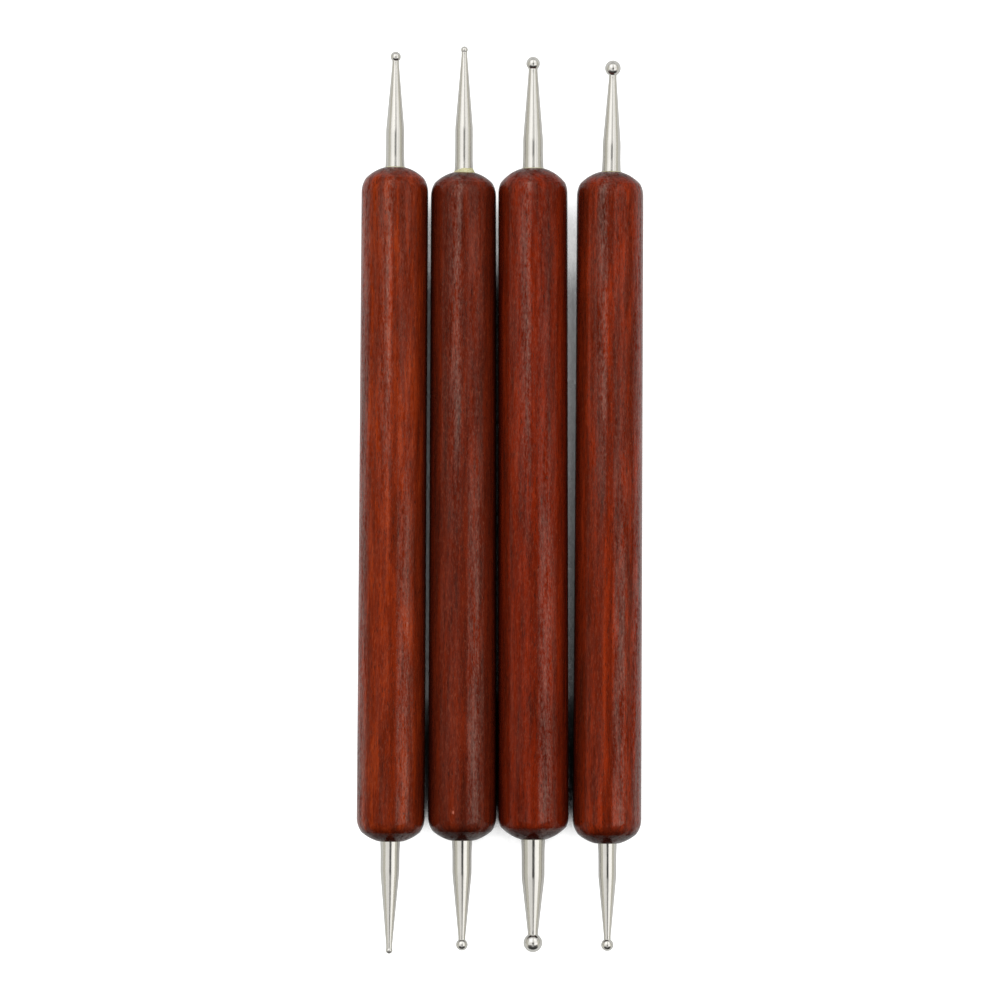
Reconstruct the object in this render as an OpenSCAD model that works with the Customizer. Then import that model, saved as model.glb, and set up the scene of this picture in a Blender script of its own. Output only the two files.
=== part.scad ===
// Four double-ended embossing styluses, lying side by side on a flat surface.
// Each stylus has a turned hardwood handle with rounded ends and a blind drilled bore in each end.
// A steel pin is bonded into each bore. Its shank tapers to a neck, and a steel ball is brazed into
// the cup at the end of the neck, so a set has eight ball sizes.
// The styluses lie along Y on the plane z = 0, with their head ends towards +Y.
// A list of four values runs from the left stylus, towards -X, to the right one.

/* [Handles] */
// Length of a handle
handle_length = 99.0; // [80:0.5:140]
// Amount by which each handle is cut longer than that
length_excess = [0.5, -0.3, 0.2, 0.2]; // [-2:0.1:2]
// Diameter of a handle at its head end, where its side would reach the end face
handle_head_d = 9.85; // [9:0.05:12]
// Amount by which each head end is turned wider than that
head_d_excess = [0.0, -0.25, 0.35, -0.05]; // [-0.5:0.05:0.5]
// Diameter of a handle at its tail end, where its side would reach the end face
handle_tail_d = 10.15; // [9:0.05:12]
// Amount by which each tail end is turned wider than that
tail_d_excess = [-0.1, -0.05, 0.25, 0.0]; // [-0.5:0.05:0.5]
// Radius of the shoulder between the side and each head end
head_shoulder_r = [3.85, 3.75, 3.95, 3.8]; // [2:0.05:4.2]
// Radius of the shoulder between the side and each tail end
tail_shoulder_r = [3.5, 3.5, 3.5, 3.6]; // [2:0.05:4.2]
// Radius of the crown inside the shoulder of each head end
head_crown_r = 6.0; // [5.5:0.1:12]
// Radius of the crown inside the shoulder of each tail end
tail_crown_r = 6.6; // [5.5:0.1:12]
// Height to which each head crown would rise over the end face if it were not cut flat there
head_crown_rise = [0.13, 0.05, 0.05, 0.04]; // [0:0.01:0.4]
// Height to which each tail crown would rise over the end face if it were not cut flat there
tail_crown_rise = [0.27, 0.27, 0.22, 0.27]; // [0:0.01:0.4]

/* [Row] */
// Narrowest gap between each handle and the next one to its right
handle_gap = [0.41, 0.27, 0.58]; // [0.1:0.01:3]
// Lean of each stylus to the right of Y, in degrees
stylus_lean = [0.38, 0.13, -0.05, 0.29]; // [-1:0.01:1]
// Distance along Y of each handle's middle from the row's base line
handle_shift = [0.44, 0.18, 0.53, 0.0]; // [-3:0.01:3]

/* [Head tips] */
// Diameter of each head ball
head_ball_d = [1.55, 1.05, 2.05, 2.35]; // [0.8:0.05:4]
// Diameter of each neck behind a head ball
head_neck_d = [1.03, 0.88, 1.38, 1.16]; // [0.6:0.01:1.8]
// Diameter of each head shank
head_shank_d = [2.72, 2.63, 2.97, 2.67]; // [2.2:0.01:4]
// Length of each head shank, from the handle to the shoulder where the taper starts
head_shank_length = [5.35, 6.35, 4.0, 3.95]; // [3:0.05:8]
// Distance from the handle to the outer end of each head ball
head_reach = [17.0, 18.45, 16.3, 16.3]; // [14:0.05:25]
// Lean of each head pin in its handle, towards +X, in degrees
head_pin_lean = [0.0, 0.15, 0.1, 0.6]; // [-1:0.05:1]

/* [Tail tips] */
// Diameter of each tail ball
tail_ball_d = [1.05, 1.75, 2.8, 1.85]; // [0.8:0.05:4]
// Diameter of each neck behind a tail ball
tail_neck_d = [0.92, 1.07, 1.58, 1.04]; // [0.6:0.01:1.8]
// Diameter of each tail shank
tail_shank_d = [2.8, 2.85, 3.4, 2.66]; // [2.2:0.01:4]
// Length of each tail shank, from the handle to the shoulder where the taper starts
tail_shank_length = [4.5, 4.85, 5.45, 4.9]; // [3:0.05:8]
// Distance from the handle to the outer end of each tail ball
tail_reach = [16.6, 16.25, 16.6, 15.9]; // [14:0.05:25]
// Lean of each tail pin in its handle, towards +X, in degrees
tail_pin_lean = [-0.2, 0.0, -0.2, 0.25]; // [-1:0.05:1]

/* [Pins] */
// How much wider than its shank the tang of a pin is, in diameter
tang_extra = 0.13; // [0.02:0.01:0.6]
// Length over which a pin narrows from its tang to its shank, outside the handle
runout = 1.6; // [0.5:0.1:2.5]
// Length of the straight neck between the taper and the ball
neck_length = 0.5; // [0.1:0.05:1.5]
// Chamfer round the inner end of a tang
tang_chamfer = 0.35; // [0.1:0.05:0.8]

/* [Bores and adhesive] */
// Depth of each bore, from the end of the handle to its drill point
bore_depth = 14.0; // [8:0.5:25]
// Full angle of the drill point at the floor of a bore
drill_angle = 118; // [90:1:150]
// Thickness of the adhesive round a tang
adhesive_wall = 0.1; // [0.05:0.01:0.3]
// Thickness of the adhesive between the end of a tang and the drill point
adhesive_floor = 0.4; // [0.1:0.05:2]
// Height that squeezed-out adhesive climbs up each head shank, 0 where there is none
bead_height = [0.0, 1.0, 0.0, 0.0]; // [0:0.05:1.5]
// Radius of the hollow curve of that adhesive, well over its height
bead_hollow_r = 2.2; // [1.8:0.05:4]
// Distance by which the adhesive lies off the axis of the shank
bead_offset = 0.3; // [0.1:0.05:0.6]
// Direction of that offset round the shank, in degrees from +X towards the upper side
bead_turn = 50; // [0:5:360]

/* [Hidden] */
PIECES = ["handle", "head_adhesive", "head_pin", "head_ball", "tail_adhesive", "tail_pin", "tail_ball"];
STYLUSES = [0 : len(length_excess) - 1];
$fn = 96;

// The two ends of a stylus, which pick a value from a pair such as ball_r
HEAD = 0;
TAIL = 1;
ENDS = [HEAD, TAIL];
// Length by which a cutting shape runs past the face that it opens
over_cut = 1;
last = len(length_excess) - 1;
wood_colors = [[0.55, 0.17, 0.10], [0.36, 0.13, 0.10], [0.45, 0.12, 0.09], [0.42, 0.12, 0.09]];
steel_color = [0.74, 0.73, 0.70];
ball_color = [0.80, 0.79, 0.76];
adhesive_color = [0.80, 0.78, 0.60];

handle_d = [handle_head_d, handle_tail_d];
d_excess = [head_d_excess, tail_d_excess];
shoulder_r = [head_shoulder_r, tail_shoulder_r];
crown_r = [head_crown_r, tail_crown_r];
crown_rise = [head_crown_rise, tail_crown_rise];
// Height by which the circle of a shoulder stands over the end face, where the crown cuts it
shoulder_over = 0.05;
ball_r = [head_ball_d / 2, tail_ball_d / 2];
neck_r = [head_neck_d / 2, tail_neck_d / 2];
shank_r = [head_shank_d / 2, tail_shank_d / 2];
shank_length = [head_shank_length, tail_shank_length];
reach = [head_reach, tail_reach];
pin_lean = [head_pin_lean, tail_pin_lean];

// Side of the handle's middle that an end lies on, along Y
function side(end) = end == HEAD ? 1 : -1;
// Half the length of a handle, and the radius of its side at an end face
function half_length(i) = (handle_length + length_excess[i]) / 2;
function end_r(i, end) = (handle_d[end] + d_excess[end][i]) / 2;
function tang_r(i, end) = shank_r[end][i] + tang_extra / 2;
function bore_r(i, end) = tang_r(i, end) + adhesive_wall;

// Heights along a pin, from the corner where the bore meets its drill point
function ball_z(i, end) = bore_depth + reach[end][i] - ball_r[end][i];
function seat_z(i, end) = ball_z(i, end) - sqrt(max(0, pow(ball_r[end][i], 2) - pow(neck_r[end][i], 2)));

// Angle between a handle's side and its axis, which widens towards the tail
function flare(i) = atan((end_r(i, TAIL) - end_r(i, HEAD)) / (2 * half_length(i)));
// Radius of a handle's side at a height along its axis, with the head end up
function side_r(i, z) = (end_r(i, HEAD) + end_r(i, TAIL)) / 2 - z * tan(flare(i));

// Distance from a handle's middle to the centre of the circle of a shoulder, and the side's radius there
function shoulder_z(i, end) = half_length(i) + shoulder_over - shoulder_r[end][i];
function shoulder_side_r(i, end) = side_r(i, side(end) * shoulder_z(i, end));
function shoulder_x(i, end) = shoulder_side_r(i, end) - shoulder_r[end][i];
// Distance from a handle's middle to the centre of a crown
function crown_z(i, end) = half_length(i) + crown_rise[end][i] - crown_r[end];

// Height of a handle's axis over the surface when its side lies flat on it
function axis_z(i) = side_r(i, 0) * cos(flare(i));
// How far to the right of its middle the axis of a stylus has leaned at an end's shoulder
function lean_x(i, end) = side(end) * shoulder_z(i, end) * tan(stylus_lean[i]);
// Distance between the middles of a handle and the next, which leaves the narrowest gap between them
function pitch(i) =
    handle_gap[i] + max([for (end = ENDS)
        end_r(i, end) + end_r(i + 1, end) + lean_x(i, end) - lean_x(i + 1, end)]);
function row_x(i) = i == 0 ? 0 : row_x(i - 1) + pitch(i - 1);
row_left = min([for (end = ENDS) lean_x(0, end) - end_r(0, end)]);
row_right = max([for (end = ENDS) row_x(last) + lean_x(last, end) + end_r(last, end)]);

// Place along Y of the outer end of a ball, before the row is centred
function tip_y(i, end) = handle_shift[i] + side(end) * (half_length(i) + reach[end][i]);
row_top = max([for (i = STYLUSES) tip_y(i, HEAD)]);
row_bottom = min([for (i = STYLUSES) tip_y(i, TAIL)]);
row_middle = [(row_left + row_right) / 2, (row_top + row_bottom) / 2];

// Lays a stylus, drawn upright with its middle at the origin, in its place in the row
module lay(i) {
    translate([row_x(i) - row_middle[0], handle_shift[i] - row_middle[1], axis_z(i)])
        rotate([0, 0, -stylus_lean[i]])
            rotate([-90 - flare(i), 0, 0])
                children();
}

// Puts a shape, drawn with Z pointing out of the handle, at the floor of a bore in an upright stylus
module in_bore(i, end) {
    rotate([end == HEAD ? 0 : 180, 0, 0])
        translate([0, 0, half_length(i) - bore_depth])
            rotate([0, pin_lean[end][i], 0])
                children();
}

// Turns part of a half outline, drawn with an end of the handle up, to that end
module at_end(end) {
    if (end == HEAD)
        children();
    else
        mirror([0, 1])
            children();
}

// Half outline of a handle whose shoulders are round and whose ends are still flat, with its head end up
module shouldered_outline(i) {
    polygon([
        [0, -shoulder_z(i, TAIL) - shoulder_r[TAIL][i]],
        [shoulder_x(i, TAIL), -shoulder_z(i, TAIL) - shoulder_r[TAIL][i]],
        [shoulder_side_r(i, TAIL), -shoulder_z(i, TAIL)],
        [shoulder_side_r(i, HEAD), shoulder_z(i, HEAD)],
        [shoulder_x(i, HEAD), shoulder_z(i, HEAD) + shoulder_r[HEAD][i]],
        [0, shoulder_z(i, HEAD) + shoulder_r[HEAD][i]]]);
    for (end = ENDS)
        at_end(end)
            translate([shoulder_x(i, end), shoulder_z(i, end)])
                intersection() {
                    circle(r = shoulder_r[end][i]);
                    square(shoulder_r[end][i]);
                }
}

// Half outline of a handle, with its head end up. The crowns and end faces are cut from its ends.
module handle_outline(i) {
    difference() {
        shouldered_outline(i);
        for (end = ENDS)
            at_end(end)
                difference() {
                    translate([-over_cut, half_length(i) - shoulder_r[end][i] + over_cut])
                        square(crown_r[end] + over_cut);
                    intersection() {
                        translate([0, crown_z(i, end)])
                            circle(r = crown_r[end]);
                        translate([-2 * over_cut, half_length(i) - 2 * crown_r[end]])
                            square(2 * crown_r[end]);
                    }
                }
    }
}

// A bore with its drill point, long enough to cut past the end of the handle by over_length
module bore(i, end, over_length) {
    cylinder(r = bore_r(i, end), h = bore_depth + over_length);
    rotate([180, 0, 0])
        cylinder(r1 = bore_r(i, end), r2 = 0, h = bore_r(i, end) / tan(drill_angle / 2));
}

module pin_body(i, end) {
    rotate_extrude()
        polygon([
            [0, adhesive_floor],
            [tang_r(i, end) - tang_chamfer, adhesive_floor],
            [tang_r(i, end), adhesive_floor + tang_chamfer],
            [tang_r(i, end), bore_depth],
            [shank_r[end][i], bore_depth + runout],
            [shank_r[end][i], bore_depth + shank_length[end][i]],
            [neck_r[end][i], seat_z(i, end) - neck_length],
            [neck_r[end][i], ball_z(i, end)],
            [0, ball_z(i, end)]]);
}

module ball_body(i, end) {
    translate([0, 0, ball_z(i, end)])
        sphere(r = ball_r[end][i]);
}

// Adhesive squeezed out round the foot of a head shank, as a hollow fillet that leans against one side of it
module bead(i) {
    top_r = tang_r(i, HEAD) - bead_offset;
    // It starts inside the handle, which then cuts it to the curve of the rounded end
    foot = bore_depth - adhesive_floor;
    height = bead_height[i] + adhesive_floor;
    translate([bead_offset * cos(bead_turn), -bead_offset * sin(bead_turn), foot])
        rotate_extrude()
            difference() {
                square([top_r + bead_hollow_r, height]);
                translate([top_r + bead_hollow_r, height])
                    circle(r = bead_hollow_r);
            }
}

module handle(i) {
    color(wood_colors[i])
        lay(i)
            difference() {
                rotate_extrude()
                    handle_outline(i);
                for (end = ENDS)
                    in_bore(i, end)
                        bore(i, end, over_cut);
            }
}

// The adhesive fills what a tang leaves of its bore
module adhesive(i, end) {
    color(adhesive_color)
        lay(i) {
            in_bore(i, end)
                difference() {
                    bore(i, end, 0);
                    pin_body(i, end);
                }
            if (end == HEAD && bead_height[i] > 0)
                difference() {
                    in_bore(i, HEAD)
                        difference() {
                            bead(i);
                            pin_body(i, HEAD);
                        }
                    rotate_extrude()
                        handle_outline(i);
                }
        }
}

// A pin ends in a cup that its ball is brazed into
module pin(i, end) {
    color(steel_color)
        lay(i)
            in_bore(i, end)
                difference() {
                    pin_body(i, end);
                    ball_body(i, end);
                }
}

module ball(i, end) {
    color(ball_color)
        lay(i)
            in_bore(i, end)
                ball_body(i, end);
}

for (i = STYLUSES) {
    handle(i);
    adhesive(i, HEAD);
    pin(i, HEAD);
    ball(i, HEAD);
    adhesive(i, TAIL);
    pin(i, TAIL);
    ball(i, TAIL);
}
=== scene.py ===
"""Four double-ended embossing styluses in a row, seen from straight above on a white floor."""
import math

import bpy
from mathutils import Matrix, Vector


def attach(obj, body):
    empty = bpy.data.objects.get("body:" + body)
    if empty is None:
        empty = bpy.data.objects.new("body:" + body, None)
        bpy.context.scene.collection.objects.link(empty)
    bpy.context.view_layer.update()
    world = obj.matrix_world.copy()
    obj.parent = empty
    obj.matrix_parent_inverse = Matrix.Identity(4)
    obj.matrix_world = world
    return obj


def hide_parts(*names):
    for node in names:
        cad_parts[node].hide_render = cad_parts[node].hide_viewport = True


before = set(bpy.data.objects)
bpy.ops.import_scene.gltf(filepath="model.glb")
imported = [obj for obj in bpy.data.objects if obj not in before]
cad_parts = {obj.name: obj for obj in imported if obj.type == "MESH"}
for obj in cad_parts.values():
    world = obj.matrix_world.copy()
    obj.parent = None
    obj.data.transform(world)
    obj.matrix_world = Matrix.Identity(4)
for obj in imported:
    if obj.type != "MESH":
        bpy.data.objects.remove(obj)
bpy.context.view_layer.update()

MM = 0.001
HEAD, TAIL = 0, 1
COUNT = 4

# The solids' own sizes, in mm and degrees. Where a list holds two, the first is for the heads.
LENGTH = [99.5, 98.7, 99.2, 99.2]
END_R = [[4.925, 4.8, 5.1, 4.9], [5.025, 5.05, 5.2, 5.075]]
SHOULDER_R = [[3.85, 3.75, 3.95, 3.8], [3.5, 3.5, 3.5, 3.6]]
SHOULDER_OVER = 0.05
CROWN_R = [6.0, 6.6]
CROWN_RISE = [[0.13, 0.05, 0.05, 0.04], [0.27, 0.27, 0.22, 0.27]]
GAP = [0.41, 0.27, 0.58]
LEAN = [0.38, 0.13, -0.05, 0.29]
SHIFT = [0.44, 0.18, 0.53, 0.0]
BALL_D = [[1.55, 1.05, 2.05, 2.35], [1.05, 1.75, 2.8, 1.85]]
NECK_D = [[1.03, 0.88, 1.38, 1.16], [0.92, 1.07, 1.58, 1.04]]
SHANK_D = [[2.72, 2.63, 2.97, 2.67], [2.8, 2.85, 3.4, 2.66]]
SHANK_LENGTH = [[5.35, 6.35, 4.0, 3.95], [4.5, 4.85, 5.45, 4.9]]
REACH = [[17.0, 18.45, 16.3, 16.3], [16.6, 16.25, 16.6, 15.9]]
PIN_LEAN = [[0.0, 0.15, 0.1, 0.6], [-0.2, 0.0, -0.2, 0.25]]
BORE_DEPTH, DRILL_ANGLE = 14.0, 118.0
WALL, FLOOR_GAP = 0.1, 0.4
RUNOUT, NECK_LENGTH, TANG_EXTRA, CHAMFER = 1.6, 0.5, 0.13, 0.35

# The scene's own sizes, in mm.
# The solids' facets lie this much inside their true curve, as a share of the radius
FACET = 0.0006
# The broken edge of a bore's mouth: where it starts, its width, and how far outside the bore the end face starts
MOUTH_DROP, MOUTH_BREAK, FACE_START = 0.05, 0.015, 0.06
# Half the length over which polishing has softened the shoulder of a pin
SOFT = 0.45
# The rim of a ball's cup: its share of the neck's radius, and where it starts and ends along the pin from the seat
CUP_RIM, RIM_START, RIM_END = 0.985, -0.02, 0.01
# The bead of adhesive at the foot of one shank: its height, its width, and how much more of it is on one side
BEAD_HEIGHT = [[0.0, 0.78, 0.0, 0.0], [0.0, 0.0, 0.0, 0.0]]
BEAD_WIDTH, BEAD_EXCESS, BEAD_TURN = 0.12, 0.26, 50.0
# The share of a bead's height on its low side, and how hollow its slope is
BEAD_LOW, BEAD_HOLLOW = 0.40, 1.3
# Height of the thin line of adhesive at the foot of a shank, and how far it reaches over the edge of the bore
GLUE_LINE, GLUE_OVER = [0.09, 0.03], 0.03
# Where the adhesive starts over the floor of the bore, its clearance, and how far its skin goes into the shank
GLUE_START, GLUE_CLEAR, GLUE_LAP = 0.6, 0.01, 0.02
# How far under the end face its wall ends and its foot is sunk, and where it closes inside the pin
GLUE_WALL_END, GLUE_SUNK, GLUE_CLOSE_IN, GLUE_CLOSE_Z = 0.12, 0.03, 0.12, -0.4

# How finely each mesh is divided
HANDLE_SEGMENTS, PIN_SEGMENTS, GLUE_SEGMENTS = 128, 72, 64
ROUNDED_ROWS, SIDE_ROWS, BALL_ROWS, GLUE_ROWS = 72, 40, 48, 10
LEAST_ROW = 0.002


def rad(a):
    return math.radians(a)


def side(end):
    return 1 if end == HEAD else -1


def flare(i):
    return math.atan((END_R[TAIL][i] - END_R[HEAD][i]) / LENGTH[i])


def side_r(i, z):
    return (END_R[HEAD][i] + END_R[TAIL][i]) / 2 - z * math.tan(flare(i))


def shoulder_z(i, end):
    return LENGTH[i] / 2 + SHOULDER_OVER - SHOULDER_R[end][i]


def lean_x(i, end):
    return side(end) * shoulder_z(i, end) * math.tan(rad(LEAN[i]))


def row_places():
    """Where the middle of each handle's axis is, in mm, as the solids have it."""
    x = [0.0]
    for i in range(COUNT - 1):
        x.append(x[-1] + GAP[i] + max(
            END_R[e][i] + END_R[e][i + 1] + lean_x(i, e) - lean_x(i + 1, e) for e in (HEAD, TAIL)))
    left = min(lean_x(0, e) - END_R[e][0] for e in (HEAD, TAIL))
    right = max(x[-1] + lean_x(COUNT - 1, e) + END_R[e][COUNT - 1] for e in (HEAD, TAIL))
    top = max(SHIFT[i] + LENGTH[i] / 2 + REACH[HEAD][i] for i in range(COUNT))
    bottom = min(SHIFT[i] - LENGTH[i] / 2 - REACH[TAIL][i] for i in range(COUNT))
    return [Vector((x[i] - (left + right) / 2, SHIFT[i] - (top + bottom) / 2,
                    side_r(i, 0) * math.cos(flare(i)))) for i in range(COUNT)]


PLACES = row_places()


def lay(i):
    """From an upright stylus, with its middle at the origin, to its place in the row. In metres."""
    return (Matrix.Translation(PLACES[i] * MM) @ Matrix.Rotation(-rad(LEAN[i]), 4, "Z")
            @ Matrix.Rotation(-rad(90) - flare(i), 4, "X"))


def in_bore(i, end):
    """From a pin's own axis, with the floor of its bore at the origin, to the upright stylus."""
    return (Matrix.Rotation(0 if end == HEAD else math.pi, 4, "X")
            @ Matrix.Translation((0, 0, (LENGTH[i] / 2 - BORE_DEPTH) * MM))
            @ Matrix.Rotation(rad(PIN_LEAN[end][i]), 4, "Y"))


def tang_r(i, end):
    return (SHANK_D[end][i] + TANG_EXTRA) / 2


def ball_z(i, end):
    return BORE_DEPTH + REACH[end][i] - BALL_D[end][i] / 2


def pin_r(i, end, z):
    """Radius of a pin at a height over the end face of its handle."""
    t, q = tang_r(i, end), SHANK_D[end][i] / 2
    return t + (q - t) * min(1.0, max(0.0, z / RUNOUT))


def end_face_z(i, end, r):
    """Height of a rounded end at a radius, over its own end face."""
    c = CROWN_R[end]
    return min(0.0, CROWN_RISE[end][i] - c + math.sqrt(c * c - r * r))


def skin(name, rings, sharp, closed=False):
    """A mesh over rings of points in mm.

    A ring of one point closes an end, and closed joins the last ring to the first.
    """
    verts, rows, along = [], [], [0.0]
    for k, ring in enumerate(rings):
        if k:
            along.append(along[-1] + math.dist(ring[0], rings[k - 1][0]))
        rows.append(list(range(len(verts), len(verts) + len(ring))))
        verts += [tuple(v * MM for v in point) for point in ring]
    if closed:
        rows.append(rows[0])
        along.append(along[-1] + math.dist(rings[0][0], rings[-1][0]))
    faces, maps = [], []
    for k in range(len(rows) - 1):
        low, high = rows[k], rows[k + 1]
        v0, v1 = along[k] / along[-1], along[k + 1] / along[-1]
        count = max(len(low), len(high))
        for m in range(count):
            n = (m + 1) % count
            u0, u1 = m / count, (m + 1) / count
            if len(low) == 1:
                faces.append((low[0], high[n], high[m]))
                maps.append(((u0, v0), (u1, v1), (u0, v1)))
            elif len(high) == 1:
                faces.append((low[m], low[n], high[0]))
                maps.append(((u0, v0), (u1, v0), (u0, v1)))
            else:
                faces.append((low[m], low[n], high[n], high[m]))
                maps.append(((u0, v0), (u1, v0), (u1, v1), (u0, v1)))
    mesh = bpy.data.meshes.new(name)
    mesh.from_pydata(verts, [], faces)
    layer = mesh.uv_layers.new(name="OFBake")
    for poly, uvs in zip(mesh.polygons, maps):
        for li, uv in zip(poly.loop_indices, uvs):
            layer.data[li].uv = uv
    mesh.validate()
    mesh.update()
    mesh.shade_smooth()
    mesh.set_sharp_from_angle(angle=rad(sharp))
    obj = bpy.data.objects.new(name, mesh)
    bpy.context.scene.collection.objects.link(obj)
    return obj


def lathe(name, outline, segments, sharp):
    """A turned mesh over points of (radius, height, sideways shift of the centre). Radius 0 closes an end."""
    # The seam is on the underside
    angles = [2 * math.pi * m / segments + math.pi / 2 for m in range(segments)]
    rings = [[(cx, 0, z)] if r == 0 else [(cx + r * math.cos(a), r * math.sin(a), z) for a in angles]
             for r, z, cx in outline]
    return skin(name, rings, sharp)


def bore_rings(i, end):
    """A bore, from its drill point to its mouth."""
    r = tang_r(i, end) + WALL
    tilt = math.tan(rad(PIN_LEAN[end][i]))
    point = r / math.tan(rad(DRILL_ANGLE / 2))
    mouth = BORE_DEPTH + end_face_z(i, end, r)
    rows = [(0, -point, 0), (r * 0.5, -point * 0.5, 0), (r, 0, 0)]
    rows += [(r, BORE_DEPTH * k / 4, BORE_DEPTH * k / 4 * tilt) for k in range(1, 4)]
    rows += [(r, mouth - MOUTH_DROP, BORE_DEPTH * tilt), (r + MOUTH_BREAK, mouth - MOUTH_BREAK, BORE_DEPTH * tilt)]
    return [(a, side(end) * (LENGTH[i] / 2 - BORE_DEPTH + b), c) for a, b, c in rows]


def rounded_rings(i, end):
    """The end face, the crown and the shoulder, from the bore outwards."""
    half, c, q = LENGTH[i] / 2, CROWN_R[end], SHOULDER_R[end][i]
    crown_z = half + CROWN_RISE[end][i] - c
    centre_z = shoulder_z(i, end)
    out = side_r(i, side(end) * centre_z)
    start = tang_r(i, end) + WALL + FACE_START
    rows = []
    for k in range(ROUNDED_ROWS + 1):
        # Equal angles round the shoulder's own centre
        a = rad(90 * (1 - k / ROUNDED_ROWS))
        r = max(start, out - q + q * math.cos(a))
        ring = centre_z + math.sqrt(max(0.0, q * q - (r - out + q) ** 2))
        crown = crown_z + math.sqrt(max(0.0, c * c - r * r))
        rows.append((r, min(half, ring, crown)))
    rows = [p for k, p in enumerate(rows) if k == ROUNDED_ROWS or p[0] < rows[k + 1][0] - LEAST_ROW]
    return [(r, side(end) * z, 0) for r, z in rows]


def side_rings(i):
    """The long side of a handle, between its two shoulders."""
    z0, z1 = -shoulder_z(i, TAIL), shoulder_z(i, HEAD)
    heights = [z0 + (z1 - z0) * k / SIDE_ROWS for k in range(1, SIDE_ROWS)]
    return [(side_r(i, z), z, 0) for z in heights]


def handle_rings(i):
    """Outline from the floor of the tail bore, over the outside, to the floor of the head bore."""
    rows = bore_rings(i, TAIL) + rounded_rings(i, TAIL) + side_rings(i)
    rows += rounded_rings(i, HEAD)[::-1] + bore_rings(i, HEAD)[::-1]
    return [(r * (1 - FACET), z, cx) for r, z, cx in rows]


def pin_rings(i, end):
    """Outline of a pin, from the end of its tang to the seat of its ball."""
    t, s, n = tang_r(i, end), SHANK_D[end][i] / 2, NECK_D[end][i] / 2
    ball, centre = BALL_D[end][i] / 2, ball_z(i, end)
    seat = centre - math.sqrt(max(0.0, ball * ball - n * n))
    shoulder = BORE_DEPTH + SHANK_LENGTH[end][i]
    taper = seat - NECK_LENGTH
    slope = (s - n) / (taper - shoulder)
    rows = [(0, FLOOR_GAP), (t - CHAMFER, FLOOR_GAP), (t, FLOOR_GAP + CHAMFER), (t, BORE_DEPTH * 0.5),
            (t, BORE_DEPTH)]
    rows += [(s + (t - s) * (1 - k / 6), BORE_DEPTH + RUNOUT * k / 6) for k in range(1, 7)]
    rows += [(s, BORE_DEPTH + RUNOUT + (shoulder - SOFT - BORE_DEPTH - RUNOUT) * k / 8) for k in range(1, 8)]
    # The shoulder is a turned corner that polishing has softened
    for k in range(9):
        a = -1 + k / 4
        rows.append((s - slope * SOFT * ((a + 1) / 2) ** 2, shoulder + a * SOFT))
    for k in range(1, 24):
        z = shoulder + SOFT + (taper - shoulder - SOFT) * k / 24
        rows.append((s - slope * (z - shoulder), z))
    rows += [(n, taper), (n, taper + NECK_LENGTH / 2), (n, seat + RIM_START), (n * CUP_RIM, seat + RIM_END)]
    # The cup follows the ball
    for k in range(1, 7):
        r = n * CUP_RIM * (1 - k / 6)
        rows.append((r, centre - math.sqrt(max(0.0, ball * ball - r * r))))
    return [(r, z, 0) for r, z in rows]


def ball_rings(i, end):
    r, c = BALL_D[end][i] / 2, ball_z(i, end)
    angles = [math.pi * k / BALL_ROWS for k in range(1, BALL_ROWS)]
    return [(0, c - r, 0)] + [(r * math.sin(a), c - r * math.cos(a), 0) for a in angles] + [(0, c + r, 0)]


def glue_rings(i, end):
    """Adhesive round a tang, with the thin line of it at the foot of a shank, and a bead where there is one."""
    tang = tang_r(i, end)
    mouth = tang + WALL
    columns = []
    for m in range(GLUE_SEGMENTS):
        a = 2 * math.pi * m / GLUE_SEGMENTS
        # Its height is a little uneven all round
        wave = 1 + 0.07 * math.sin(3 * a + 1) + 0.05 * math.sin(7 * a)
        lean = max(0.0, math.cos(a + rad(BEAD_TURN)))
        foot, height = mouth + GLUE_OVER, GLUE_LINE[end] * wave
        if BEAD_HEIGHT[end][i] > 0:
            foot = max(foot, tang + BEAD_WIDTH + BEAD_EXCESS * lean)
            height = BEAD_HEIGHT[end][i] * (BEAD_LOW + (1 - BEAD_LOW) * lean) * wave
        low = end_face_z(i, end, foot)
        column = [(tang + GLUE_CLEAR, GLUE_START - BORE_DEPTH), (mouth - GLUE_CLEAR, GLUE_START - BORE_DEPTH),
                  (mouth - GLUE_CLEAR, low - GLUE_WALL_END), (foot, low - GLUE_SUNK)]
        for k in range(GLUE_ROWS + 1):
            z = low + height * k / GLUE_ROWS
            inner = pin_r(i, end, z) - GLUE_LAP
            column.append((inner + (foot - inner) * (1 - k / GLUE_ROWS) ** BEAD_HOLLOW, z))
        column += [(tang - GLUE_CLOSE_IN, low + height), (tang - GLUE_LAP, GLUE_CLOSE_Z)]
        columns.append([(r * math.cos(a), r * math.sin(a), BORE_DEPTH + z) for r, z in column])
    return [[column[k] for column in columns] for k in range(len(columns[0]))]


WHITE = (1, 1, 1, 1)


def greys(*stops):
    """Stops of a grey ramp, from pairs of a place and a level."""
    return [(place, (level, level, level)) for place, level in stops]


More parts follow.
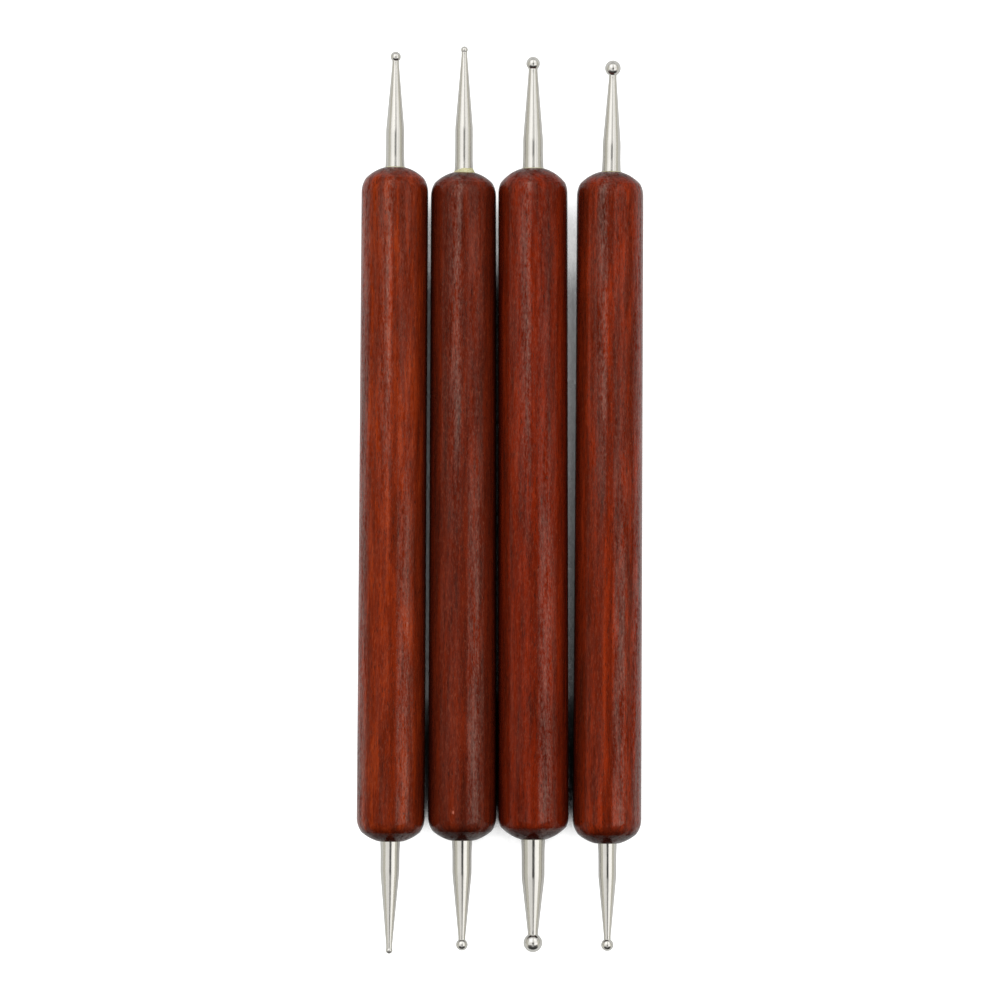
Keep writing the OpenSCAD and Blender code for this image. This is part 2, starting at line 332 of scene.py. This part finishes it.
class Nodes:
    """A short way to write a node tree: each call adds a node and returns its output."""

    def __init__(self, owner, output="ShaderNodeOutputMaterial"):
        owner.use_nodes = True
        self.owner = owner
        self.tree = owner.node_tree
        self.tree.nodes.clear()
        self.out = self.tree.nodes.new(output)

    def node(self, kind, inputs=None, **settings):
        n = self.tree.nodes.new(kind)
        for k, v in settings.items():
            setattr(n, k, v)
        for k, v in (inputs or {}).items():
            if isinstance(v, bpy.types.NodeSocket):
                self.tree.links.new(v, n.inputs[k])
            else:
                n.inputs[k].default_value = v
        return n

    def math(self, op, a, b=0.0, c=0.0, clamp=False):
        return self.node("ShaderNodeMath", {0: a, 1: b, 2: c}, operation=op, use_clamp=clamp).outputs[0]

    def smooth(self, v, lo, hi, to0=0.0, to1=1.0):
        n = self.node("ShaderNodeMapRange", {0: v, 1: lo, 2: hi, 3: to0, 4: to1}, interpolation_type="SMOOTHSTEP")
        return n.outputs[0]

    def axes(self, i=None):
        """Places in mm: in the row, or along an upright handle i whose middle is the origin and whose head is up."""
        tc = self.node("ShaderNodeTexCoord")
        turn = (0, 0, 0) if i is None else (-rad(90) - flare(i), 0, -rad(LEAN[i]))
        where = (0, 0, 0) if i is None else PLACES[i] * MM
        self.base = self.node("ShaderNodeMapping", {0: tc.outputs["Object"], 1: where, 2: turn, 3: (MM, MM, MM)},
                              vector_type="TEXTURE").outputs[0]
        return self.base

    def split(self, v):
        return self.node("ShaderNodeSeparateXYZ", {0: v}).outputs

    def layer(self, offset, scale, detail, rough, distortion=0.0):
        """Noise over the places from axes(), with its own scale along each of them."""
        where = self.node("ShaderNodeMapping", {0: self.base, 1: offset, 3: scale}).outputs[0]
        return self.node("ShaderNodeTexNoise", {"Vector": where, "Scale": 1.0, "Detail": detail, "Roughness": rough,
                                                "Distortion": distortion}).outputs[0]

    def mix(self, f, a, b, blend="MIX"):
        return self.node("ShaderNodeMix", {0: f, 6: a, 7: b}, data_type="RGBA", blend_type=blend).outputs[2]

    def ramp(self, v, stops):
        n = self.node("ShaderNodeValToRGB", {0: v})
        e = n.color_ramp.elements
        while len(e) < len(stops):
            e.new(0.5)
        for k, (pos, col) in enumerate(stops):
            e[k].position = pos
            e[k].color = (*col, 1.0)
        return n.outputs[0]

    def bump(self, height, strength, distance):
        return self.node("ShaderNodeBump", {"Strength": strength, "Distance": distance, "Height": height}).outputs[0]

    def finish(self, shader):
        self.tree.links.new(shader.outputs[0], self.out.inputs[0])
        return self.owner


def material(name):
    return Nodes(bpy.data.materials.new(name))


# Each handle's stain: dark, middle and bright tones in linear colour
STAINS = [
    [(0.085, 0.0100, 0.0030), (0.175, 0.0170, 0.0035), (0.330, 0.0370, 0.0050)],
    [(0.060, 0.0085, 0.0040), (0.118, 0.0125, 0.0040), (0.200, 0.0210, 0.0050)],
    [(0.075, 0.0075, 0.0025), (0.150, 0.0120, 0.0025), (0.250, 0.0210, 0.0035)],
    [(0.072, 0.0085, 0.0030), (0.145, 0.0130, 0.0028), (0.300, 0.0270, 0.0045)],
]
PORE, RAISED_FIBRE, FLECK = (0.03, 0.006, 0.004, 1), (0.50, 0.11, 0.04, 1), (0.40, 0.13, 0.07, 1)
# Pale and dark marks on each handle: place across and along it, half sizes, colour and strength
ORANGE, PALE, DARK = (0.40, 0.040, 0.006, 1), (0.55, 0.16, 0.10, 1), (0.02, 0.004, 0.003, 1)
MARKS = [
    [(-0.45, 33.7, 0.4, 12.0, ORANGE, 0.55), (1.99, -45.45, 0.16, 0.3, DARK, 0.7)],
    [(-1.31, -45.05, 0.22, 0.35, PALE, 0.9)],
    [(1.15, -41.4, 0.14, 0.3, DARK, 0.8), (-0.6, 36.0, 0.35, 12.0, ORANGE, 0.25)],
    [(-0.6, -25.0, 0.4, 18.0, ORANGE, 0.35), (0.7, -20.0, 0.3, 14.0, ORANGE, 0.3)],
]
# Painted sheen: how strongly a handle's varnish reflects round its upper side, from left (0) to right (1), near each
# end
HEAD_SHEEN = greys((0.0, 0.80), (0.10, 0.80), (0.18, 0.38), (0.28, 0.36), (0.35, 0.64), (0.415, 1.0), (0.455, 1.0),
                    (0.49, 0.65), (0.54, 0.50), (0.60, 0.32), (0.68, 0.36), (0.81, 0.22), (0.90, 0.52), (1.0, 0.62))
TAIL_SHEEN = greys((0.0, 0.80), (0.10, 0.80), (0.16, 0.32), (0.25, 0.17), (0.46, 0.20), (0.50, 0.20), (0.55, 0.24),
                    (0.58, 0.54), (0.66, 0.74), (0.74, 0.76), (0.79, 0.50), (0.83, 0.32), (0.90, 0.52), (1.0, 0.62))
# Painted sheen: the two outermost handles reflect more on the side that has no neighbour: from x, to x, and what is
# added at each
OPEN_SIDE_SHEEN = {0: (-4.3, -3.2, 0.25, 0.0), 3: (3.2, 4.3, 0.0, 0.45)}
# How much of the painted sheen shows in the varnish's specular level
VARNISH_LEVEL = 0.7


def seed(i):
    """Where the noise of each handle starts."""
    return 31.7 * (i + 1)


def wood_colour(n, i, layer, fibre, dash, pores):
    """Stain over broad tone, streaks and fibre, with marks, open pores, pale dashes and flecks."""
    broad = layer(0, 0.75, 0.055, 2.0, 0.5, 0.3, seed(i))
    streak = layer(3, 2.0, 0.14, 2.0, 0.6, 0.3)
    tone = n.math("MULTIPLY_ADD", broad, 1.5, -0.75)
    for noise in (streak, fibre):
        tone = n.math("ADD", tone, n.math("MULTIPLY_ADD", noise, 1.0, -0.5))
    tone = n.math("ADD", tone, 0.5, clamp=True)
    colour = n.ramp(tone, list(zip((0.0, 0.5, 1.0), STAINS[i])))
    for x, z, wide, high, tint, strength in MARKS[i]:
        spot = n.node("ShaderNodeMapping", {0: n.base, 1: (x, 0, z), 3: (wide, 100, high)}, vector_type="TEXTURE")
        out = n.node("ShaderNodeVectorMath", {0: spot.outputs[0]}, operation="LENGTH").outputs["Value"]
        ragged = n.math("MULTIPLY_ADD", fibre, 1.8, n.math("SUBTRACT", out, 0.9))
        colour = n.mix(n.smooth(ragged, 0.2, 1.1, strength, 0.0), colour, tint)
    # Open pores that the stain has darkened
    colour = n.mix(n.math("MULTIPLY", pores, 0.55), colour, PORE)
    # Raised fibre takes less stain, and shows pale in short wavy dashes
    colour = n.mix(n.smooth(dash, 0.50, 0.75, 0.0, 0.12), colour, RAISED_FIBRE)
    fleck = layer(17, 4.5, 1.2, 1.0, 0.5, 0.4, 5)
    return n.mix(n.smooth(fleck, 0.76, 0.86, 0.0, 0.35), colour, FLECK)


def wood_shade(n, i, z):
    """How dark the stain is along the handle, with painted shade where it is shut in."""
    half = LENGTH[i] / 2
    # The ends are darker, partly as end grain that takes more stain and partly as painted shade, the tails most of
    # all; the middle of a handle is painted a little brighter and the tails a little darker, as painted light along
    # its length
    along_stain_and_shade = n.math("MULTIPLY", n.smooth(z, half - 1.5, half - 0.5, 1.0, 0.5),
                  n.smooth(z, 0.9 - half, 2.5 - half, 0.28, 1.0))
    along_stain_and_shade = n.math("MULTIPLY", along_stain_and_shade, n.math("MULTIPLY", n.smooth(z, -42.0, -22.0, 0.95, 1.11),
                                           n.smooth(z, 8.0, 30.0, 1.0, 0.90)))
    # Painted shade: the stain is darkened where the handle is shut in by its neighbours and the floor
    painted_occlusion = n.node("ShaderNodeAmbientOcclusion", {"Distance": 0.005}, samples=12)
    shade = n.math("MULTIPLY", along_stain_and_shade, n.math("MULTIPLY_ADD", painted_occlusion.outputs["AO"], 0.85, 0.15))
    return n.node("ShaderNodeCombineColor", {0: shade, 1: shade, 2: shade}).outputs[0]


def wood_gloss(n, i, layer, dash, x, z):
    """Painted sheen: the varnish's specular level is raised along some lines of the handle and lowered along others,
    to set how bright its reflections show there; it is also dull in the grain.
    """
    across = n.math("MULTIPLY_ADD", x, 0.1, 0.5)
    near_head = n.ramp(across, HEAD_SHEEN)
    near_tail = n.ramp(across, TAIL_SHEEN)
    painted_sheen = n.mix(n.smooth(z, -12.0, 22.0), near_tail, near_head)
    if i in OPEN_SIDE_SHEEN:
        painted_sheen = n.math("ADD", painted_sheen, n.smooth(x, *OPEN_SIDE_SHEEN[i]))
    worn = layer(37, 1.2, 0.10, 2.0, 0.5, 0.2)
    uneven = n.math("MULTIPLY", n.math("SUBTRACT", dash, 0.5), n.math("MULTIPLY_ADD", painted_sheen, 1.6, 3.5))
    uneven = n.math("MAXIMUM", n.math("ADD", uneven, n.math("MULTIPLY_ADD", worn, 3.4, -0.7)), 0.05)
    return n.math("MULTIPLY", n.math("MULTIPLY", painted_sheen, VARNISH_LEVEL), uneven)


def wood(i):
    """Stained and varnished hardwood, with its grain along the handle."""
    n = material(f"stained_wood_{i + 1}")
    x, _, z = n.split(n.axes(i))

    def layer(y_offset, across, along, detail, rough, distortion=0.0, z_offset=0.0):
        return n.layer((seed(i), y_offset, z_offset), (across, across, along), detail, rough, distortion)

    fibre = layer(7, 5.0, 0.6, 3.0, 0.7, 0.2)
    dash = layer(29, 4.2, 1.3, 2.0, 0.65, 0.6)
    grain = layer(23, 5.5, 1.6, 2.0, 0.6)
    pores = n.smooth(layer(11, 6.5, 0.9, 1.0, 0.5), 0.60, 0.70)
    colour = n.mix(1.0, wood_colour(n, i, layer, fibre, dash, pores), wood_shade(n, i, z), "MULTIPLY")
    height = n.math("ADD", n.math("MULTIPLY", grain, 0.6), n.math("MULTIPLY", fibre, 0.5))
    height = n.math("SUBTRACT", height, n.math("MULTIPLY", pores, 0.5))
    return n.finish(n.node("ShaderNodeBsdfPrincipled", {
        "Base Color": colour, "Roughness": n.smooth(grain, 0.35, 0.65, 0.10, 0.20),
        "Normal": n.bump(height, 0.5, 0.00002), "IOR": 1.34, "Specular Tint": (1.0, 0.92, 0.78, 1),
        "Specular IOR Level": wood_gloss(n, i, layer, dash, x, z)}))


def steel(name, tint, low, high):
    """Turned steel, polished: faint rings from the lathe, and faint scratches along it from polishing."""
    n = material(name)
    n.axes()
    rings = n.layer((0, 0, 0), (0.4, 22.0, 0.4), 1.0, 0.5)
    rubs = n.layer((5, 0, 0), (9.0, 0.5, 9.0), 2.0, 0.6)
    smear = n.layer((9, 0, 0), (0.9, 0.5, 0.9), 2.0, 0.5)
    worn = n.math("ADD", n.math("MULTIPLY", smear, 0.6), n.math("MULTIPLY", rubs, 0.4))
    height = n.math("ADD", n.math("MULTIPLY", rings, 0.5), n.math("MULTIPLY", rubs, 0.5))
    return n.finish(n.node("ShaderNodeBsdfPrincipled", {
        "Base Color": n.mix(smear, tuple(c * 0.92 for c in tint) + (1,), tuple(tint) + (1,)), "Metallic": 1.0,
        "Roughness": n.smooth(worn, 0.3, 0.7, low, high), "Normal": n.bump(height, 0.25, 0.000003)}))


def adhesive_look():
    """Set glue: cream, a little cloudy, with a soft skin."""
    n = material("adhesive")
    n.axes()
    cloud = n.layer((0, 0, 0), (1.5, 1.5, 1.5), 3.0, 0.6)
    return n.finish(n.node("ShaderNodeBsdfPrincipled", {
        "Base Color": n.ramp(cloud, [(0.3, (0.50, 0.47, 0.24)), (0.7, (0.74, 0.72, 0.46))]),
        "Roughness": n.smooth(cloud, 0.3, 0.7, 0.22, 0.42), "Normal": n.bump(cloud, 0.4, 0.00004),
        "Subsurface Weight": 0.3, "Subsurface Radius": (0.0006, 0.0005, 0.0003), "IOR": 1.5}))


WOODS = [wood(i) for i in range(COUNT)]
PIN_STEEL = steel("pin_steel", (0.605, 0.588, 0.548), 0.11, 0.19)
BALL_STEEL = steel("ball_steel", (0.615, 0.60, 0.562), 0.09, 0.16)
ADHESIVE = adhesive_look()


def place(obj, matrix, look, body, slot, node):
    """Moves a piece to its place, gives it its material, attaches it to its body and hides the CAD node that it
    stands for. The material slot is not used.
    """
    obj.data.transform(matrix)
    obj.data.materials.append(look)
    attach(obj, body)
    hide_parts(node)


for i in range(COUNT):
    number = i + 1
    body = f"stylus_{number}"
    place(lathe(f"turned_handle_{number}", handle_rings(i), HANDLE_SEGMENTS, 40), lay(i), WOODS[i], body,
          f"stained_wood_{number}", f"handle_{number}")
    for end, word in ((HEAD, "head"), (TAIL, "tail")):
        where = lay(i) @ in_bore(i, end)
        place(lathe(f"{word}_turned_pin_{number}", pin_rings(i, end), PIN_SEGMENTS, 25), where, PIN_STEEL, body,
              "pin_steel", f"{word}_pin_{number}")
        place(lathe(f"{word}_polished_ball_{number}", ball_rings(i, end), PIN_SEGMENTS, 60), where, BALL_STEEL, body,
              "ball_steel", f"{word}_ball_{number}")
        place(skin(f"{word}_cured_adhesive_{number}", glue_rings(i, end), 35, True), where, ADHESIVE, body,
              "adhesive", f"{word}_adhesive_{number}")

# The sheet is 8 m wide, and lies 0.03 mm under the handles
FLOOR_HALF, FLOOR_Z = 4.0, -0.00003
FLOOR_COLOUR = (0.50, 0.51, 0.51, 1)
# Where the first and the third gap end across the row, and where the heads start along it, in mm
FIRST_GAP, THIRD_GAP, HEADS = (-6.0, -5.0), (4.5, 5.5), (29.0, 37.0)
# Painted shade: how light the sheet is in each gap, along the row from y = -50 mm (0) to 50 mm (1)
GAP_SHADES = [
    greys((0.155, 0.12), (0.205, 1.0)),
    greys((0.0, 0.05), (0.80, 0.03), (0.86, 1.0)),
    greys((0.13, 0.05), (0.205, 0.20), (0.35, 0.36), (0.50, 0.55), (0.65, 0.78), (0.90, 1.0)),
]
# The share of the sheet's white that metal shows
WHITE_IN_METAL = 0.38


def floor():
    """A white sheet. What the camera sees of it is as white as an overexposed sheet, but not where it is shut in,
    and it has painted shade in the gaps between the handles.
    """
    mesh = bpy.data.meshes.new("floor")
    corners = [(x * FLOOR_HALF, y * FLOOR_HALF, FLOOR_Z) for x, y in ((-1, -1), (1, -1), (1, 1), (-1, 1))]
    mesh.from_pydata(corners, [], [(0, 1, 2, 3)])
    obj = bpy.data.objects.new("floor", mesh)
    bpy.context.scene.collection.objects.link(obj)
    n = material("white_sheet")
    x, y, _ = n.split(n.axes())
    open_sky = n.node("ShaderNodeAmbientOcclusion", {"Distance": 0.03}, samples=16).outputs["AO"]
    # Painted shade: the gaps between the handles are darker towards the tails, and the middle one most of all
    along = n.math("MULTIPLY_ADD", y, 0.01, 0.5)
    first, second, third = [n.ramp(along, stops) for stops in GAP_SHADES]
    shade = n.mix(n.smooth(x, *FIRST_GAP), first, second)
    shade = n.mix(n.smooth(x, *THIRD_GAP), shade, third)
    shade = n.mix(n.smooth(open_sky, 0.12, 0.40), shade, WHITE)
    lit = n.node("ShaderNodeBsdfDiffuse", {0: n.mix(1.0, shade, FLOOR_COLOUR, "MULTIPLY")})
    path = n.node("ShaderNodeLightPath").outputs
    seen = n.math("MULTIPLY_ADD", path["Is Glossy Ray"], WHITE_IN_METAL, path["Is Camera Ray"])
    seen = n.math("ADD", seen, path["Is Transmission Ray"], clamp=True)
    # How open the sheet counts as, shifted by place as painted shade: a little more at the heads and less at the
    # tails and in the third gap
    opened = n.math("ADD", open_sky, n.smooth(y, -33.0, -28.0, -0.085, 0.0))
    opened = n.math("ADD", opened, n.smooth(y, *HEADS, 0.0, 0.07))
    opened = n.math("ADD", opened, n.smooth(x, *THIRD_GAP, 0.0, -0.035))
    in_second = n.math("SUBTRACT", n.smooth(x, -5.5, -5.0), n.smooth(x, *THIRD_GAP))
    opened = n.math("ADD", opened, n.math("MULTIPLY", in_second, n.smooth(y, *HEADS, -0.04, 0.015)))
    glow = n.math("MULTIPLY", seen, n.smooth(opened, 0.06, 0.26))
    white = n.node("ShaderNodeEmission", {0: WHITE, 1: glow})
    mesh.materials.append(n.finish(n.node("ShaderNodeAddShader", {0: lit.outputs[0], 1: white.outputs[0]})))


def sky():
    """A pale studio round the row, darker towards the front, where the photographer stands."""
    world = bpy.data.worlds.new("studio")
    bpy.context.scene.world = world
    n = Nodes(world, "ShaderNodeOutputWorld")
    x, y, _ = n.split(n.node("ShaderNodeTexCoord").outputs["Generated"])
    along = n.math("MULTIPLY_ADD", y, 0.5, 0.5)
    middle = n.ramp(along, greys((0.10, 0.06), (0.175, 0.6), (0.375, 0.6), (0.425, 0.03), (0.485, 0.05), (0.60, 1.1),
                                 (0.92, 1.1), (1.0, 0.55)))
    around = n.ramp(along, greys((0.08, 0.06), (0.20, 0.15), (0.45, 0.25), (0.60, 0.45), (0.90, 0.9), (1.0, 0.55)))
    across = n.math("ABSOLUTE", x)
    flank = n.ramp(across, [(0.68, (0.0, 0.0, 0.0)), (0.80, (0.56, 0.55, 0.52)), (0.87, (0.80, 0.79, 0.73)),
                            (0.94, (0.80, 0.79, 0.72)), (1.0, (0.74, 0.73, 0.66))])
    level = n.mix(n.smooth(across, 0.14, 0.24), middle, around)
    level = n.mix(1.0, level, flank, "LIGHTEN")
    path = n.node("ShaderNodeLightPath").outputs
    seen = n.math("ADD", path["Is Camera Ray"], path["Is Transmission Ray"], clamp=True)
    n.finish(n.node("ShaderNodeBackground", {0: n.mix(seen, level, WHITE), 1: 1.0}))


def lamp(name, x0, x1, y0, y1, z, level):
    """A soft panel over the row, facing down, with its light given as the level that it shows in a mirror."""
    light = bpy.data.lights.new(name, "AREA")
    light.shape = "RECTANGLE"
    light.size, light.size_y = x1 - x0, y1 - y0
    light.energy = level * math.pi * (x1 - x0) * (y1 - y0)
    obj = bpy.data.objects.new(name, light)
    obj.location = ((x0 + x1) / 2, (y0 + y1) / 2, z)
    obj.visible_camera = False
    bpy.context.scene.collection.objects.link(obj)


floor()
sky()
lamp("left_panel", -0.86, -0.085, -0.40, 0.90, 0.6, 0.9)
lamp("left_panel_near_heads", -0.50, -0.085, 0.02, 0.90, 0.61, 0.30)
lamp("right_panel", 0.185, 0.95, -0.40, 0.90, 0.6, 0.85)
lamp("right_panel_near_tails", 0.185, 0.95, -0.45, -0.01, 0.61, 0.5)
lamp("right_panel_near_heads", 0.185, 0.40, 0.0, 0.90, 0.62, 0.30)

# The camera looks straight down, and its frame is as wide as the photograph at the height of the handles' axes
CAMERA_HEIGHT, AXES_HEIGHT, FRAME_WIDTH, SENSOR = 1.2, 0.005, 0.1475, 36
camera = bpy.data.cameras.new("camera")
eye = bpy.data.objects.new("camera", camera)
bpy.context.scene.collection.objects.link(eye)
eye.location = (0, 0, CAMERA_HEIGHT)
camera.lens = SENSOR * (CAMERA_HEIGHT - AXES_HEIGHT) / FRAME_WIDTH
camera.sensor_width = SENSOR
bpy.context.scene.camera = eye
bpy.context.scene.view_settings.view_transform = "Standard"
